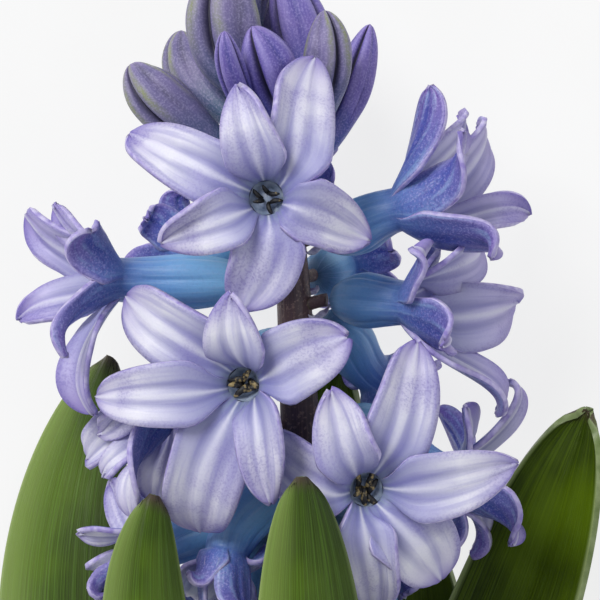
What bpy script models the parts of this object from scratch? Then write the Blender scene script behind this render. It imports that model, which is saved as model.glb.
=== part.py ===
"""Hyacinth flower: one cut spike with its own leaves, lying down.

Everything is drawn in the plant's own frame, in millimetres: x to the right, y up the scape towards
the buds, z away from the surface the spike lies on. The plant is then laid down as a whole.
"""
import math

import bmesh
import bpy
from mathutils import Matrix, Vector

MM = 0.001

# lying position of the whole plant
LAY_TILT = 6.10         # degrees the scape rises from the cut end to the head
LAY_ROLL = 2.22         # degrees about the scape

# scape
CUT_END_Y = -150.0
SCAPE_TOP_Y = 38.0
SCAPE_RADIUS_CUT = 4.4
SCAPE_RADIUS_HEAD = 3.2
SCAPE_RADIUS_TOP = 1.5
PEDICEL_RADIUS = 0.9
PEDICEL_LENGTH = 2.6
SCAPE_SIDES = 12
SCAPE_ROWS = 14

# florets
FLESH = 0.9             # thickness of tube and lobes
MOUTH_RADIUS = 3.1
TUBE_RADIUS = 3.7
OUTER_FLARE = 50.0      # degrees an outer lobe leans outwards where it leaves the tube
INNER_FLARE = 28.0      # the same for an inner lobe
SECTOR_SHARE = 0.48     # half a lobe may be this share of its distance from the tube's axis
ACROSS = 2              # mesh steps across one lobe
LOBE_ROWS = 5
TUBE_ROWS = 4
GAP = 0.35              # air between touching pieces

# stamens
STYLE_RADIUS = 0.6
STYLE_LENGTH = 3.0
ANTHER_DEPTH = 1.9      # below the mouth

# buds
BUD_GROOVE = 0.05
BUD_AROUND = 12
BUD_ROWS = 6

# leaves
INNER_RING = 6.4        # distance from the scape's centre to the sheath of an inner leaf
OUTER_RING = 9.6
LEAF_THICKNESS = 1.7
LEAF_CUP = 28.0         # degrees either side of the midrib that the blade stays curled
LEAF_ACROSS = 4
LEAF_ROWS = 9


def remove_everything():
    for ob in list(bpy.data.objects):
        bpy.data.objects.remove(ob, do_unlink=True)


def material(name, colour, roughness):
    mat = bpy.data.materials.new(name)
    mat.use_nodes = True
    shader = mat.node_tree.nodes["Principled BSDF"]
    shader.inputs["Base Color"].default_value = (*colour, 1.0)
    shader.inputs["Roughness"].default_value = roughness
    return mat


def mix(a, b, share):
    return a + (b - a) * share


def ease(share):
    share = min(max(share, 0.0), 1.0)
    return share * share * (3.0 - 2.0 * share)


def bezier(p0, p1, p2, p3, t):
    s = 1.0 - t
    return p0 * s**3 + p1 * (3 * s * s * t) + p2 * (3 * s * t * t) + p3 * t**3


def bezier_direction(p0, p1, p2, p3, t):
    s = 1.0 - t
    d = (p1 - p0) * (3 * s * s) + (p2 - p1) * (6 * s * t) + (p3 - p2) * (3 * t * t)
    return d.normalized()


def square_to(direction, wanted):
    """The part of a wanted direction that is square to another, at length one."""
    return (wanted - direction * wanted.dot(direction)).normalized()


def scape_axis(y):
    """Centre of the scape at a height; it bows gently to one side towards the buds."""
    up = (y - CUT_END_Y) / (SCAPE_TOP_Y - CUT_END_Y)
    return Vector((1.6 - 1.2 * up - 5.0 * up**5, y, 0.0))


def scape_radius(y):
    if y < -40.0:
        return mix(SCAPE_RADIUS_CUT, SCAPE_RADIUS_HEAD, ease((y - CUT_END_Y) / (-40.0 - CUT_END_Y)))
    return mix(SCAPE_RADIUS_HEAD, SCAPE_RADIUS_TOP, ((y + 40.0) / (SCAPE_TOP_Y + 40.0)) ** 2)


def scape_outward(turn):
    """Direction out from the scape: 0 right, 90 up from the surface, 180 left, 270 down."""
    return Vector((math.cos(math.radians(turn)), 0.0, math.sin(math.radians(turn))))


def pedicel_ends(y, turn):
    out = scape_outward(turn)
    start = scape_axis(y) + out * (scape_radius(y) * 0.4)
    end = scape_axis(y) + out * (scape_radius(y) + PEDICEL_LENGTH) + Vector((0, 1.0, 0))
    return start, end


def add_object(name, bm, mat):
    mesh = bpy.data.meshes.new(name)
    for v in bm.verts:
        v.co *= MM
    bm.to_mesh(mesh)
    bm.free()
    mesh.shade_smooth()
    mesh.materials.append(mat)
    ob = bpy.data.objects.new(name, mesh)
    bpy.context.scene.collection.objects.link(ob)
    return ob


def shaped_grid(bm, across, rows, place):
    """A square grid whose points are put in place by a rule of (0..1 across, 0..1 along)."""
    made = bmesh.ops.create_grid(bm, x_segments=across, y_segments=rows, size=1.0)
    for v in made["verts"]:
        v.co = place((v.co.x + 1.0) / 2.0, (v.co.y + 1.0) / 2.0)


def give_thickness(ob, thickness):
    skin = ob.modifiers.new("thickness", "SOLIDIFY")
    skin.thickness = thickness * MM
    skin.offset = 0.0


# ---------------------------------------------------------------- florets


def mouth_frame(axis):
    reference = Vector((0, 1, 0)) if abs(axis.y) < 0.9 else Vector((0, 0, 1))
    first = square_to(axis, reference)
    return first, axis.cross(first)


def around(first, second, turn):
    a = math.radians(turn)
    return first * math.cos(a) + second * math.sin(a)


def tube_profile(t):
    """Tube radius from its rounded base, over its belly, to the slight waist at its mouth."""
    belly = TUBE_RADIUS * math.sqrt(1.0 - (1.0 - t) ** 6) * (0.88 + 0.12 * ease(t * 2.0))
    return mix(belly, MOUTH_RADIUS, ease((t - 0.5) / 0.5))


def lobe_half_width(t, width):
    """Half width of a lobe: the tube's own share, the broad middle, the blunt tip."""
    if t < 0.45:
        return mix(MOUTH_RADIUS * 0.5, width / 2.0, ease(t / 0.45))
    return width / 2.0 * max(1.0 - ((t - 0.45) / 0.55) ** 2.6, 0.0) ** 0.6


def tube_curve(mouth, axis, y, turn):
    base = pedicel_ends(y, turn)[1] + scape_outward(turn) * (GAP + FLESH / 2.0)
    reach = (mouth - base).length
    out = scape_outward(turn)
    return base, base + out * reach * 0.4, mouth - axis * reach * 0.45, mouth


def perianth(name, mat, y, turn, mouth, axis, roll, lobes):
    """One floret's tube and its six lobes, grown together."""
    mouth, axis = Vector(mouth), Vector(axis).normalized()
    first, second = mouth_frame(axis)
    curve = tube_curve(mouth, axis, y, turn)
    bm = bmesh.new()

    def tube_point(u, t):
        along = bezier_direction(*curve, t)
        side = square_to(along, first)
        out = around(side, along.cross(side), roll - 30.0 + 360.0 * u)
        return bezier(*curve, t) + out * tube_profile(t)

    shaped_grid(bm, 6 * ACROSS, TUBE_ROWS, tube_point)
    for number, (tip_turn, reach, forward, width, hook, lift, twist) in enumerate(lobes):
        base_turn = roll + 60.0 * number
        start = mouth + around(first, second, base_turn) * MOUTH_RADIUS
        tip_out = around(first, second, tip_turn)
        tip = mouth + tip_out * reach + axis * forward
        span = (tip - start).length
        flare = math.radians(OUTER_FLARE if number % 2 else INNER_FLARE)
        bend = math.radians(hook)
        leave = axis * math.cos(flare) + around(first, second, base_turn) * math.sin(flare)
        arrive = tip_out * math.cos(bend) - axis * math.sin(bend)
        line = (start, start + leave * span * 0.38, tip - arrive * span * 0.38, tip)
        side_start = around(first, second, base_turn + 90.0)
        side_end = around(first, second, tip_turn + 90.0)

        def lobe_point(u, t):
            if t < 0.001:
                return mouth + around(first, second, base_turn + 60.0 * (u - 0.5)) * MOUTH_RADIUS
            along = bezier_direction(*line, t)
            flat = square_to(along, side_start * (1 - t) + side_end * t)
            side = around(flat, along.cross(flat), twist * ease(t))
            inward = along.cross(side)
            middle = bezier(*line, t)
            clear = (middle - mouth).cross(axis).length * SECTOR_SHARE
            half = min(lobe_half_width(t, width), clear)
            edge = 2.0 * u - 1.0
            rise = half * 0.27 * edge * edge + lift * math.sin(math.pi * t)
            return middle + side * (half * edge) + inward * rise

        shaped_grid(bm, ACROSS, LOBE_ROWS, lobe_point)
    bmesh.ops.remove_doubles(bm, verts=bm.verts, dist=0.001)
    give_thickness(add_object(name, bm, mat), FLESH)


def even_lobes(roll, reach, forward, width, hook):
    """Six like lobes; the inner three stand a little further forward."""
    return [(roll + 60.0 * i, reach, forward + (0.9 if i % 2 == 0 else -0.9), width, hook, 0.0, 0)
            for i in range(6)]


def stamens(name, mat, mouth, axis, roll):
    """Six anthers round the style, grown on one receptacle deep in the tube."""
    mouth, axis = Vector(mouth), Vector(axis).normalized()
    first, second = mouth_frame(axis)
    bm = bmesh.new()
    made = bmesh.ops.create_cone(
        bm, cap_ends=True, segments=6, radius1=STYLE_RADIUS, radius2=STYLE_RADIUS, depth=0.9)
    bmesh.ops.translate(bm, verts=made["verts"], vec=(0, 0, -ANTHER_DEPTH))
    arms = [f for f in bm.faces if abs(f.normal.z) < 0.5]
    foot = min(bm.faces, key=lambda f: f.calc_center_median().z)
    grown = bmesh.ops.extrude_discrete_faces(bm, faces=[foot])["faces"][0]
    bmesh.ops.translate(bm, verts=grown.verts[:], vec=(0, 0, -STYLE_LENGTH))
    for arm in arms:
        out = arm.normal.copy()
        for step, rise, swell in ((0.45, 0.3, 1.1), (1.0, 0.7, 0.45)):
            arm = bmesh.ops.extrude_discrete_faces(bm, faces=[arm])["faces"][0]
            bmesh.ops.translate(bm, verts=arm.verts[:], vec=out * step + Vector((0, 0, rise)))
            middle = arm.calc_center_median()
            bmesh.ops.scale(
                bm, verts=arm.verts[:], vec=(swell,) * 3, space=Matrix.Translation(-middle))
    turned = Matrix((first, second, axis)).transposed().to_4x4()
    bmesh.ops.transform(
        bm, matrix=Matrix.Translation(mouth) @ turned @ Matrix.Rotation(math.radians(roll), 4, "Z"),
        verts=bm.verts[:])
    add_object(name, bm, mat)


# ---------------------------------------------------------------- buds


def bud(name, mat, y, turn, middle, tip, radius):
    """A closed bud: six lobes folded together, still showing as six low ribs."""
    base = pedicel_ends(y, turn)[1] + scape_outward(turn) * GAP
    middle, tip = Vector(middle), Vector(tip)
    curve = (base, base + (middle - base) * 0.8, tip + (middle - tip) * 0.7, tip)
    bm = bmesh.new()

    def skin_point(u, t):
        along = bezier_direction(*curve, t)
        side = square_to(along, Vector((0, 0, 1)) if abs(along.z) < 0.8 else Vector((0, 1, 0)))
        turn_here = 360.0 * u
        ribs = 1.0 - BUD_GROOVE * math.cos(math.radians(3.0 * turn_here)) * math.sin(math.pi * t)
        girth = radius * math.sin(math.pi * t**1.15) ** 0.58 if 0.0 < t < 1.0 else 0.0
        return bezier(*curve, t) + around(side, along.cross(side), turn_here) * (girth * ribs)

    shaped_grid(bm, BUD_AROUND, BUD_ROWS, skin_point)
    bmesh.ops.remove_doubles(bm, verts=bm.verts, dist=0.001)
    bmesh.ops.recalc_face_normals(bm, faces=bm.faces[:])
    add_object(name, bm, mat)


# ---------------------------------------------------------------- leaves


def leaf(name, mat, turn, ring, rise, middle, tip, face, width, wrap):
    """A strap leaf: it wraps part of the scape, opens into a broad channel and ends in a hood.

    turn, ring and wrap place its sheath round the scape and rise is how far it stays upright;
    middle and tip bend its midrib; face is the way its hollow side looks at mid height.
    """
    centre = scape_axis(CUT_END_Y)
    start = centre + scape_outward(turn) * ring
    middle, tip, face = Vector(middle), Vector(tip), Vector(face).normalized()
    line = (start, start + Vector((0, rise, 0)), middle, tip)
    bm = bmesh.new()

    def blade_point(u, t):
        along = bezier_direction(*line, t)
        hollow = square_to(along, (-scape_outward(turn)).lerp(face, ease(t * 2.0)))
        side = hollow.cross(along)
        edge = 2.0 * u - 1.0
        half_base = ring * math.radians(wrap)
        if t < 0.48:
            half = mix(half_base, width / 2.0, ease((t - 0.14) / 0.34))
        else:
            half = width / 2.0 * math.sqrt(max(1.0 - ((t - 0.48) / 0.52) ** 3.0, 0.0))
        half = max(half, 0.6)
        bow = math.radians(mix(wrap, LEAF_CUP, ease(t * 1.6)))
        curl = half / bow
        swing = edge * bow
        return (bezier(*line, t) + side * (curl * math.sin(swing))
                + hollow * (curl * (1.0 - math.cos(swing))))

    shaped_grid(bm, LEAF_ACROSS, LEAF_ROWS, blade_point)
    give_thickness(add_object(name, bm, mat), LEAF_THICKNESS)


# ---------------------------------------------------------------- scape


def scape(mat, shoots):
    """The scape with every pedicel on it, one grown piece."""
    bm = bmesh.new()
    length = SCAPE_TOP_Y - CUT_END_Y

    def bark_point(u, t):
        y = CUT_END_Y + length * t
        turn = 360.0 * u
        return scape_axis(y) + scape_outward(turn) * scape_radius(y)

    shaped_grid(bm, SCAPE_SIDES, SCAPE_ROWS, bark_point)
    bmesh.ops.remove_doubles(bm, verts=bm.verts, dist=0.001)
    bmesh.ops.holes_fill(bm, edges=[e for e in bm.edges if e.is_boundary], sides=0)
    bmesh.ops.recalc_face_normals(bm, faces=bm.faces[:])
    ob = add_object("scape", bm, mat)

    stalks = bmesh.new()
    for y, turn in shoots:
        start, end = pedicel_ends(y, turn)
        line = end - start
        lie = Matrix.Translation((start + end) / 2.0) @ line.to_track_quat("Z", "Y").to_matrix().to_4x4()
        bmesh.ops.create_cone(
            stalks, cap_ends=True, segments=6, radius1=PEDICEL_RADIUS, radius2=PEDICEL_RADIUS * 1.15,
            depth=line.length, matrix=lie)
    cutter = add_object("pedicels", stalks, mat)
    joined = ob.modifiers.new("pedicels", "BOOLEAN")
    joined.operation = "UNION"
    joined.solver = "EXACT"
    joined.use_self = True
    joined.object = cutter
    cutter.hide_render = True
    cutter.display_type = "WIRE"


# ---------------------------------------------------------------- the plant


def lay_down():
    """Tip the whole plant onto its lowest florets and sheaths, with the middle of its foot at zero."""
    plant = bpy.data.objects.new("plant", None)
    bpy.context.scene.collection.objects.link(plant)
    pieces = [ob for ob in bpy.context.scene.collection.objects if ob.type == "MESH"]
    for ob in pieces:
        ob.parent = plant
    turned = Matrix.Rotation(math.radians(LAY_TILT), 4, "X") @ Matrix.Rotation(
        math.radians(LAY_ROLL), 4, "Y")
    plant.matrix_world = turned
    bpy.context.view_layer.update()
    known = bpy.context.evaluated_depsgraph_get()
    points = [turned @ v.co for ob in pieces for v in ob.evaluated_get(known).data.vertices]
    low = [min(p[axis] for p in points) for axis in range(3)]
    high = [max(p[axis] for p in points) for axis in range(3)]
    shift = Vector((-(low[0] + high[0]) / 2.0, -(low[1] + high[1]) / 2.0, -low[2]))
    plant.matrix_world = Matrix.Translation(shift) @ turned


remove_everything()
PETAL = material("lilac_petal", (0.44, 0.42, 0.72), 0.5)
BUD_GREEN = material("bud_grey_lilac", (0.30, 0.28, 0.36), 0.55)
BUD_BLUE = material("bud_violet", (0.20, 0.18, 0.50), 0.5)
ANTHER = material("anther", (0.02, 0.018, 0.012), 0.6)
LEAF = material("leaf_green", (0.10, 0.19, 0.02), 0.45)
SCAPE_SKIN = material("scape_brown", (0.08, 0.045, 0.04), 0.6)

SHOOTS = []
FLORETS = []


def floret(letter, y, turn, mouth, axis, roll, lobes):
    SHOOTS.append((y, turn))
    FLORETS.append((letter, mouth, axis, roll))
    perianth("floret_" + letter, PETAL, y, turn, mouth, axis, roll, lobes)


def spike():
    floret("a", 13.5, 100, (-5.2, 15.7, 22.0), (-0.12, 0.05, 0.99), -112, [
        (248, 16.6, -5.2, 11.4, 30, 0.0, 0),
        (344, 23.1, -7.8, 11.4, 35, 0.0, 0),
        (13, 17.5, 3.4, 9.7, 0, 1.2, 0),
        (65, 24.5, -6.9, 10.3, 40, 0.0, 0),
        (114, 17.4, 1.6, 9.7, 15, 0.6, 0),
        (168, 17.5, -2.4, 12.0, 25, 0.0, 0)])
    floret("b", -8.0, 112, (-8.8, -13.1, 19.0), (-0.30, -0.05, 0.95), -137, [
        (196, 18.7, 2.4, 8.5, 20, 0.8, 0),
        (294, 17.7, -3.4, 12.0, 15, 0.0, 0),
        (359, 14.5, 5.5, 9.7, -10, 1.0, 0),
        (55, 23.4, -2.0, 11.4, 50, 0.0, 0),
        (95, 23.3, 1.1, 10.3, 55, 0.0, 0),
        (158, 24.9, -6.4, 13.7, 70, 0.0, 0)])
    floret("f", -27.0, 62, (10.3, -29.3, 20.0), (0.20, -0.10, 0.97), 157, [
        (188, 21.7, -7.5, 10.1, 45, 0.0, 0),
        (221, 18.9, -2.1, 13.4, 35, 0.0, 0),
        (281, 23.2, 3.3, 10.6, 20, 0.0, 0),
        (340, 23.9, -3.6, 11.2, 25, 0.0, 0),
        (22, 17.1, 1.2, 10.6, 0, 0.8, 0),
        (68, 16.4, -11.0, 11.2, 40, 0.0, 0)])
    floret("c", 9.1, 20, (15.5, 14.3, 8.0), (0.95, 0.22, 0.20), 85, [
        (37, 11.5, 13.2, 10.0, 5, 0.0, 0),
        (155, 11.8, 13.1, 10.5, 45, 0.0, 0),
        (248, 13.0, 17.8, 8.0, 0, 0.0, 0),
        (300, 23.6, 12.2, 9.0, 30, 0.0, 0),
        (311, 21.0, 10.3, 8.0, 20, 0.0, 0),
        (360, 17.8, 9.1, 9.5, -5, 0.0, 42)])
    floret("d", -1.0, 18, (16.5, -0.5, 9.0), (0.93, -0.08, 0.35), -121, [
        (273, 22.3, 10.8, 11.5, 20, 0.0, 0),
        (297, 15.0, -1.9, 9.2, 80, 0.0, 0),
        (299, 20.9, 5.1, 10.3, 30, 0.0, 0),
        (44, 11.5, 3.6, 9.2, 110, 0.0, 0),
        (124, 10.3, 9.1, 10.3, 60, 0.0, 0),
        (211, 18.9, 13.2, 10.3, 40, 0.0, 0)])
    floret("e", 2.0, 165, (-28.9, 3.2, 4.0), (-0.96, 0.05, 0.28), 123, [
        (125, 12.4, 12.9, 8.0, 0, 0.0, 0),
        (183, 21.1, 2.6, 10.5, 60, 0.0, 0),
        (215, 15.0, 9.4, 6.5, 40, 0.0, 0),
        (309, 11.1, 6.6, 9.5, 60, 0.0, -42),
        (36, 14.5, 8.6, 7.0, 0, 0.0, 0),
        (53, 17.2, 11.9, 9.0, 0, 0.0, 0)])
    floret("h", -20.0, -8, (24.3, -28.4, 1.0), (0.96, -0.12, 0.24), 106, [
        (146, 10.3, 11.3, 10.3, 40, 0.0, 0),
        (152, 14.5, -0.6, 9.2, 60, 0.0, 0),
        (188, 11.6, 4.0, 9.2, 50, 0.0, 0),
        (316, 13.4, -5.4, 8.0, 60, 0.0, 0),
        (339, 16.9, 5.9, 8.0, 90, 0.0, 0),
        (38, 15.2, 2.2, 10.3, 20, 0.0, 0)])
    floret("j", -5.0, -42, (12.1, -12.1, -13.0), (0.72, -0.50, -0.48), -131, [
        (219, 9.9, 4.4, 7.0, 70, 0.0, 0),
        (279, 9.4, 0.0, 7.0, 70, 0.0, 0),
        (359, 8.0, 4.4, 7.0, 70, 0.0, 0),
        (59, 8.0, 5.0, 7.0, 70, 0.0, 0),
        (117, 10.6, 4.5, 7.0, 70, 0.0, 0),
        (174, 11.0, 0.0, 7.0, 70, 0.0, 0)])
    floret("k", -21.0, 168, (-22.0, -17.5, 3.0), (-0.68, -0.30, 0.66), 155, [
        (140, 10.6, 8.5, 6.0, 40, 0.0, 0),
        (168, 15.4, 2.1, 9.0, 35, 0.0, 0),
        (191, 13.8, 12.0, 10.0, 30, 0.0, 0),
        (21, 7.3, -9.8, 7.0, 50, 0.0, 0),
        (104, 8.4, 6.5, 6.5, 10, 0.0, 0),
        (115, 16.2, 4.5, 7.0, 40, 0.0, 0)])
    floret("l", -36.0, 196, (-24.7, -40.5, -2.0), (-0.83, -0.31, 0.47), 13, [
        (46, 8.6, 7.5, 6.5, -30, 0.0, 0),
        (59, 11.0, -7.7, 7.0, 60, 0.0, 0),
        (103, 11.1, 3.9, 7.0, 60, 0.0, 0),
        (188, 9.0, 4.7, 8.4, 60, 0.0, 0),
        (211, 4.2, 10.0, 8.4, 60, 0.0, 0),
        (24, 12.9, -0.5, 8.5, 10, 0.0, 20)])
    floret("m", -31.0, 118, (-11.7, -40.5, 6.0), (-0.20, -0.90, 0.39), -62, [
        (270, 6.2, 8.0, 8.4, 60, 0.0, 0),
        (44, 5.2, 4.4, 7.9, 40, 0.0, 0),
        (69, 1.1, 10.7, 8.4, 60, 0.0, 0),
        (121, 9.4, 4.2, 8.4, 60, 0.0, 0),
        (167, 12.6, 2.7, 7.4, 60, 0.0, 0),
        (221, 5.9, -3.3, 7.4, 70, 0.0, 0)])
    floret("p", -50.0, 90, (-2.3, -59.4, 13.0), (-0.05, -0.78, 0.62), -93, [
        (257, 8.2, 0.9, 7.0, 70, 0.0, 0),
        (327, 8.3, 0.0, 7.0, 70, 0.0, 0),
        (23, 8.2, 0.0, 7.0, 70, 0.0, 0),
        (97, 8.1, 1.7, 7.0, 70, 0.0, 0),
        (157, 11.0, 3.7, 7.5, 70, 0.0, 0),
        (201, 11.0, 3.3, 7.5, 70, 0.0, 0)])
    floret("i", 10.0, 212, (-18.0, 8.2, -14.0), (-0.67, 0.33, -0.67), -5, [
        (3, 8.0, 5.0, 7.0, 70, 0.0, 0),
        (58, 11.0, 5.0, 7.5, 70, 0.0, 0),
        (125, 11.0, 5.0, 7.5, 70, 0.0, 0),
        (170, 11.0, 5.0, 7.0, 70, 0.0, 0),
        (225, 8.0, 5.0, 7.0, 70, 0.0, 0),
        (297, 8.5, 3.4, 7.0, 70, 0.0, 0)])
    floret("q", 3.0, -52, (7.4, 5.3, -15.0), (0.66, 0.22, -0.72), -114, [
        (239, 11.0, 2.0, 7.0, 70, 0.0, 0),
        (296, 10.7, 5.0, 7.0, 70, 0.0, 0),
        (358, 8.0, 5.0, 7.0, 70, 0.0, 0),
        (76, 10.3, 0.2, 7.0, 70, 0.0, 0),
        (136, 9.7, 3.4, 7.0, 70, 0.0, 0),
        (192, 11.0, 5.0, 7.0, 70, 0.0, 0)])
    floret("r", 15.0, 262, (-3.0, 22.0, -17.0), (-0.05, 0.35, -0.93), 0, even_lobes(0, 9.5, 1.0, 7.5, 75))
    floret("s", -12.0, 240, (-11, -13, -15), (-0.4, -0.15, -0.9), 20, even_lobes(20, 10.0, 1.0, 8.0, 75))
    floret("t", -40.0, 220, (-11.5, -49, -12), (-0.65, -0.35, -0.65), 10, even_lobes(10, 8.5, 0.5, 7.5, 80))
    floret("u", -36.0, 320, (14.0, -41.0, -6.5), (0.75, -0.40, -0.50), 15, even_lobes(15, 8.5, 0.5, 7.5, 80))
    floret("v", -44.0, 12, (13.5, -54.0, 7.0), (0.60, -0.70, 0.40), 5, even_lobes(5, 9.0, 1.0, 7.5, 75))
    floret("w", -56.0, 172, (-15, -72, -1), (-0.45, -0.85, 0.10), 25, even_lobes(25, 8.5, 1.0, 7.5, 75))


spike()
for letter, mouth, axis, roll in FLORETS:
    stamens("stamens_" + letter, ANTHER, mouth, axis, roll)

BUDS = (
    ("left", BUD_GREEN, 20.0, 168, (-22.8, 30.4, 5.0), (-26.9, 37.6, 3.0), 4.5),
    ("upper_left", BUD_GREEN, 26.0, 160, (-19.4, 35.6, -7.0), (-19.3, 43.8, -8.0), 4.0),
    ("crown", BUD_GREEN, 31.0, 130, (-13.9, 39.6, 6.0), (-11.5, 55.4, 3.0), 6.0),
    ("small", BUD_BLUE, 22.0, 118, (-11.3, 35.0, 18.0), (-11.7, 41.6, 19.0), 2.2),
    ("half_open", BUD_BLUE, 25.0, 66, (-3.8, 34.7, 12.0), (-7.5, 42.7, 14.0), 4.3),
    ("upper_right", BUD_BLUE, 27.0, 5, (1.8, 42.2, -4.0), (-3.5, 53.0, -2.0), 4.4),
    ("right", BUD_GREEN, 24.0, 28, (5.4, 37.2, 8.0), (3.8, 45.7, 8.0), 3.9),
    ("far_right", BUD_BLUE, 20.0, 5, (8.4, 33.0, -4.0), (11.3, 44.5, -4.0), 3.2),
    ("top", BUD_GREEN, 35.0, 190, (-8.4, 52.8, -7.0), (-8.1, 60.6, -7.0), 3.6),
    ("back", BUD_GREEN, 33.0, 280, (-3.9, 43.4, -13.0), (-6.2, 53.2, -13.0), 3.9),
    ("back_left", BUD_GREEN, 27.0, 228, (-11.8, 37.0, -15.0), (-15.5, 45.8, -16.0), 3.9),
    ("back_right", BUD_GREEN, 23.0, 305, (3.6, 34.5, -15.0), (6.6, 43.6, -15.0), 3.9),
)
for name, mat, y, turn, middle, tip, radius in BUDS:
    SHOOTS.append((y, turn))
    bud("bud_" + name, mat, y, turn, middle, tip, radius)

leaf("leaf_left", LEAF, 193, OUTER_RING, 18, (-60, -75, -11), (-31.5, -11, -17), (0.4, 0, -0.9), 27, 34)
leaf("leaf_front_left", LEAF, 118, INNER_RING, 42, (-32, -70, 14), (-22.8, -31.7, 16), (0.2, 0, -1), 17, 38)
leaf("leaf_front", LEAF, 75, OUTER_RING, 18, (3, -75, 24), (0.3, -28.3, 27), (0, 0, -1), 20, 34)
leaf("leaf_right", LEAF, 25, INNER_RING, 40, (33, -65, -8), (45.3, -18.8, 0), (-0.5, 0.1, 0.85), 25, 38)
leaf("leaf_low_right", LEAF, 332, OUTER_RING, 16, (27, -80, -11), (19.2, -37, -17), (0, 0, 1), 16, 34)
leaf("leaf_under", LEAF, 232, INNER_RING, 36, (-3, -62, -16), (6.4, -11.5, -22), (0, 0, 1), 20, 40)
scape(SCAPE_SKIN, SHOOTS)
lay_down()
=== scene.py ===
"""Looks of the hyacinth flower: petals, buds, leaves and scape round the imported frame."""
import math
import random

import bmesh
import bpy
from mathutils import Matrix, Vector, noise


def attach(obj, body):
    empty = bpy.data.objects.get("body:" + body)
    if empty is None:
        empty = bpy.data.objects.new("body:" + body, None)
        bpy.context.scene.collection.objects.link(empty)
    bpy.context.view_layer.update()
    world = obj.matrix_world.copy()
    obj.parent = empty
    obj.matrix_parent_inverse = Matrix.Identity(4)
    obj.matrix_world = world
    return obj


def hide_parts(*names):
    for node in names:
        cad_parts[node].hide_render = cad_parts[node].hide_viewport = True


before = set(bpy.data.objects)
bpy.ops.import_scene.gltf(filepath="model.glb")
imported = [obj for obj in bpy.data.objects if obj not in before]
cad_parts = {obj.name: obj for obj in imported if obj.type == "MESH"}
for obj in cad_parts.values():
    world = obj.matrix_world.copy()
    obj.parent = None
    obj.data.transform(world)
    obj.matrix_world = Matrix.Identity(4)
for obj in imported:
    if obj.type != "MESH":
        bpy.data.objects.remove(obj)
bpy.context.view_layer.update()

# ---------------------------------------------------------------- florets
# A floret is a fleshy tube that opens into six lobes, three outer and three inner, grown together
# and held off the scape by a short pedicel. The back is blue and speckled, the face whitish lilac
# with a raised rib between two grooves, a painted highlight on the rib and painted shade in the grooves
# and towards the throat.

# Every piece is drawn upright in millimetres: x right, y up the stem, z towards the eye. Then it is
# tipped on its back by this one turn and shift, which lays it where the imported plant lies.
MM = 0.001  # metres
WELD = 0.001  # millimetres: closer points are one point
LAY_TILT = 6.10
LAY_ROLL = 2.22
LAY_SHIFT = (1.714, 44.669, 25.321)
laid_down = (
    Matrix.Translation(Vector(LAY_SHIFT) * MM)
    @ Matrix.Rotation(math.radians(LAY_TILT), 4, "X")
    @ Matrix.Rotation(math.radians(LAY_ROLL), 4, "Y")
)

MOUTH_RADIUS = 3.1
TUBE_RADIUS = 3.85
FLESH = 0.85
PEDICEL_LENGTH = 2.6
GAP = 0.35

SCAPE_FOOT, SCAPE_NECK, SCAPE_HEAD = -150.0, -40.0, 38.0
FOOT_RADIUS, NECK_RADIUS, HEAD_RADIUS = 4.4, 3.2, 1.5
SCAPE_LENGTH = SCAPE_HEAD - SCAPE_FOOT


def mix(a, b, share):
    return a + (b - a) * share


def ease(share):
    share = min(max(share, 0.0), 1.0)
    return share * share * (3.0 - 2.0 * share)


def bump(x, centre, spread):
    return math.exp(-(((x - centre) / spread) ** 2))


def bezier(p0, p1, p2, p3, t):
    s = 1.0 - t
    return p0 * s**3 + p1 * (3 * s * s * t) + p2 * (3 * s * t * t) + p3 * t**3


def bezier_direction(p0, p1, p2, p3, t):
    s = 1.0 - t
    d = (p1 - p0) * (3 * s * s) + (p2 - p1) * (6 * s * t) + (p3 - p2) * (3 * t * t)
    return d.normalized()


def square_to(direction, wanted):
    return (wanted - direction * wanted.dot(direction)).normalized()


def around(first, second, turn):
    a = math.radians(turn)
    return first * math.cos(a) + second * math.sin(a)


def scape_outward(turn):
    return Vector((math.cos(math.radians(turn)), 0.0, math.sin(math.radians(turn))))


def shaped_grid(bm, across, rows, place, uv_place, uv):
    """A square grid put in place by a rule of (0..1 across, 0..1 along), with its own UVs."""
    made = bmesh.ops.create_grid(bm, x_segments=across, y_segments=rows, size=1.0)["verts"]
    where = {v: ((v.co.x + 1.0) / 2.0, (v.co.y + 1.0) / 2.0) for v in made}
    for face in {f for v in made for f in v.link_faces}:
        for loop in face.loops:
            loop[uv].uv = uv_place(*where[loop.vert])
    for v in made:
        v.co = place(*where[v])


def finished_piece(name, bm, mats):
    """The drawn shape laid down, in metres, with its finish, riding on the plant."""
    bm.transform(laid_down @ Matrix.Scale(MM, 4))
    mesh = bpy.data.meshes.new(name)
    bm.to_mesh(mesh)
    bm.free()
    mesh.shade_smooth()
    for mat in mats:
        mesh.materials.append(mat)
    ob = bpy.data.objects.new(name, mesh)
    bpy.context.scene.collection.objects.link(ob)
    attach(ob, "root")
    return ob


def tint(red, green, blue):
    """A screen colour as the shader wants it."""
    level = [c / 255.0 for c in (red, green, blue)]
    return tuple(c / 12.92 if c <= 0.04045 else ((c + 0.055) / 1.055) ** 2.4 for c in level) + (1.0,)


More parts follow.
